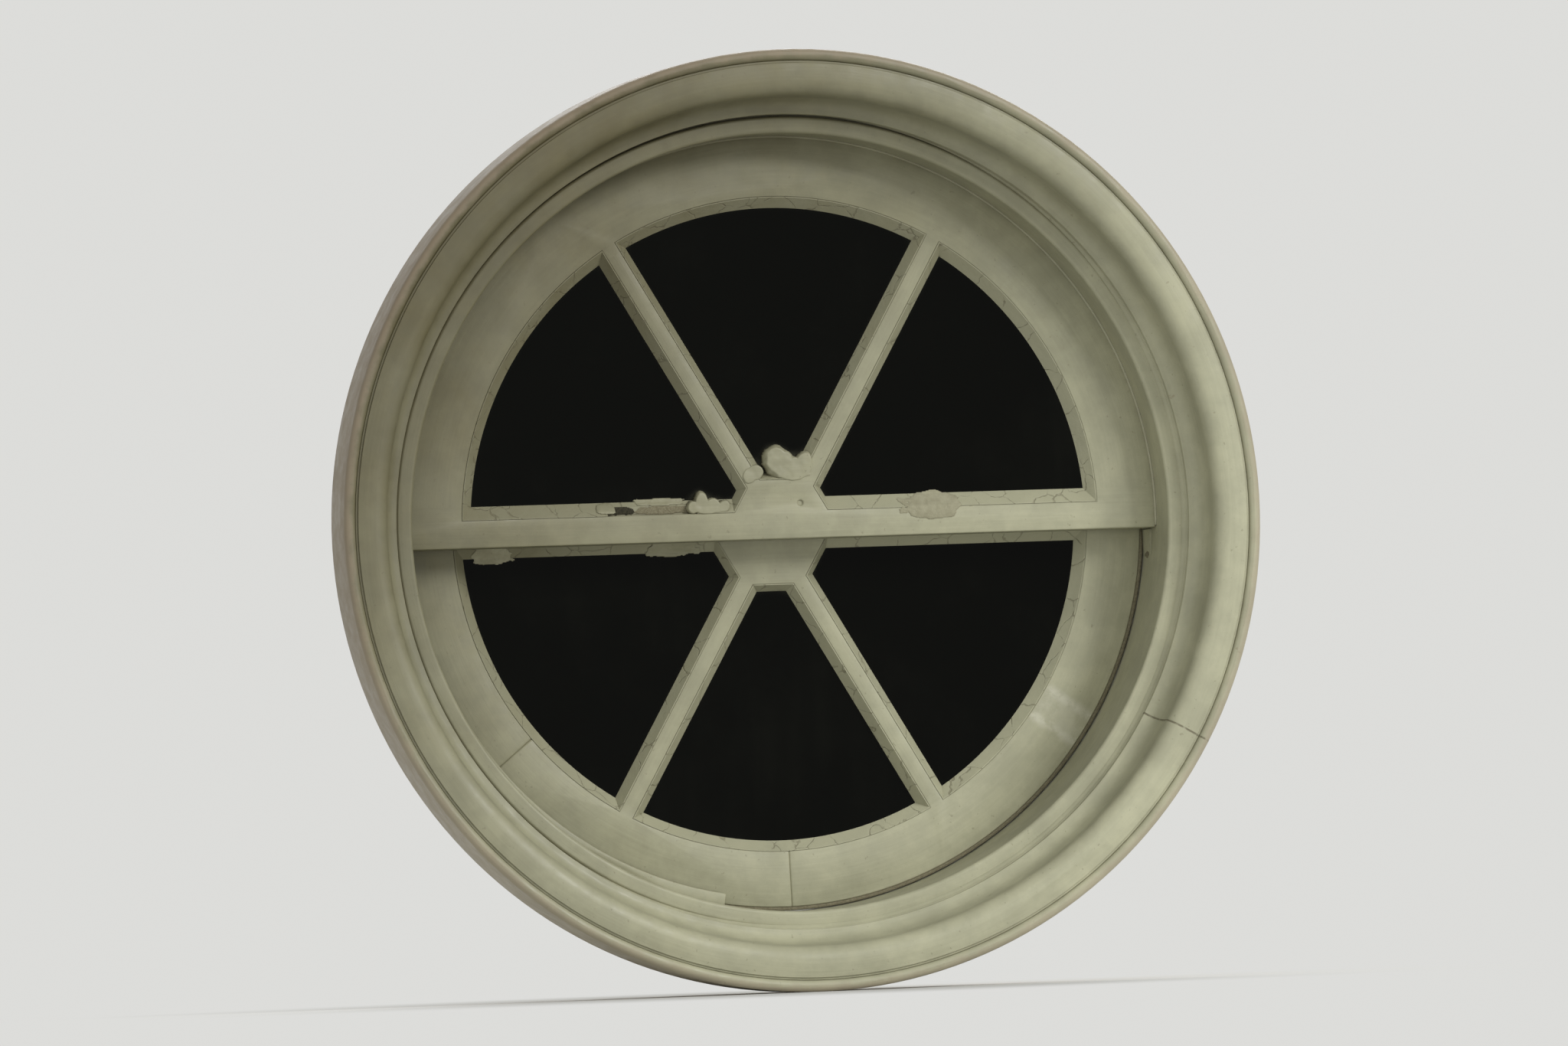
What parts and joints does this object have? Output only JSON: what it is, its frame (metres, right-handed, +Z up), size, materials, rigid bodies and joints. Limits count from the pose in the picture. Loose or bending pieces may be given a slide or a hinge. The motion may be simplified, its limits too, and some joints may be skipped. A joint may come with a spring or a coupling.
{
  "type": "round window",
  "caption": "Round wooden window with a moulded casing, radial glazing bars and a lower half sash that swings into the room behind a fixed upper half.",
  "frame": {"origin": "centre of the round opening, on the plane where the casing bears on the wall", "axes": "+Y through the window into the room, +Z up, +X to the right seen from the street"},
  "size_m": [0.61, 0.154, 0.61],
  "materials": {
    "casing_paint": "aged cream oil paint, satin, with dirt in the grooves",
    "jamb_paint": "aged cream oil paint, satin",
    "upper_paint": "aged cream oil paint, satin, brush marks",
    "lower_paint": "aged cream oil paint, satin, brush marks",
    "putty": "painted linseed putty, cracked and chipped",
    "glass": "old clear glass before a dark room",
    "painted_plate": "painted over",
    "steel": "dull steel",
    "brass": "dull brass"
  },
  "bodies": {
    "frame": {"bolt_strike": "brass", "casing_bottom": "casing_paint", "casing_left": "casing_paint", "casing_nails": "steel", "casing_right": "casing_paint", "casing_top": "casing_paint", "hub_button": "upper_paint", "jamb_bottom": "jamb_paint", "jamb_left": "jamb_paint", "jamb_right": "jamb_paint", "jamb_top": "jamb_paint", "pivot_plate_left": "painted_plate", "pivot_plate_right": "painted_plate", "pivot_screws": "painted_plate", "room_stop_left": "jamb_paint", "room_stop_right": "jamb_paint", "street_stop": "jamb_paint", "strike_screws": "steel", "upper_hub": "upper_paint", "upper_meeting_rail": "upper_paint", "upper_pane_left": "glass", "upper_pane_middle": "glass", "upper_pane_right": "glass", "upper_putty_left": "putty", "upper_putty_middle": "putty", "upper_putty_right": "putty", "upper_rim_left": "upper_paint", "upper_rim_right": "upper_paint", "upper_rim_top": "upper_paint", "upper_spoke_left": "upper_paint", "upper_spoke_right": "upper_paint"},
    "lower_sash": {"bolt_plate": "brass", "bolt_screws": "steel", "lower_hub": "lower_paint", "lower_pane_left": "glass", "lower_pane_middle": "glass", "lower_pane_right": "glass", "lower_putty_left": "putty", "lower_putty_middle": "putty", "lower_putty_right": "putty", "lower_rim_bottom_left": "lower_paint", "lower_rim_bottom_right": "lower_paint", "lower_rim_left": "lower_paint", "lower_rim_right": "lower_paint", "lower_spoke_left": "lower_paint", "lower_spoke_right": "lower_paint", "lower_top_rail": "lower_paint", "pivot_pin_left": "steel", "pivot_pin_right": "steel"},
    "bolt": {"bolt_rod": "brass"}
  },
  "joints": [
    {"name": "sash_swing", "type": "hinge", "parent": "frame", "child": "lower_sash", "pos_m": [0, 0.06975, -0.002], "axis": [1, 0, 0], "range_deg": [0, 80]},
    {"name": "bolt_slide", "type": "slide", "parent": "lower_sash", "child": "bolt", "axis": [0, 0, -1], "range_m": [0, 0.01]}
  ]
}
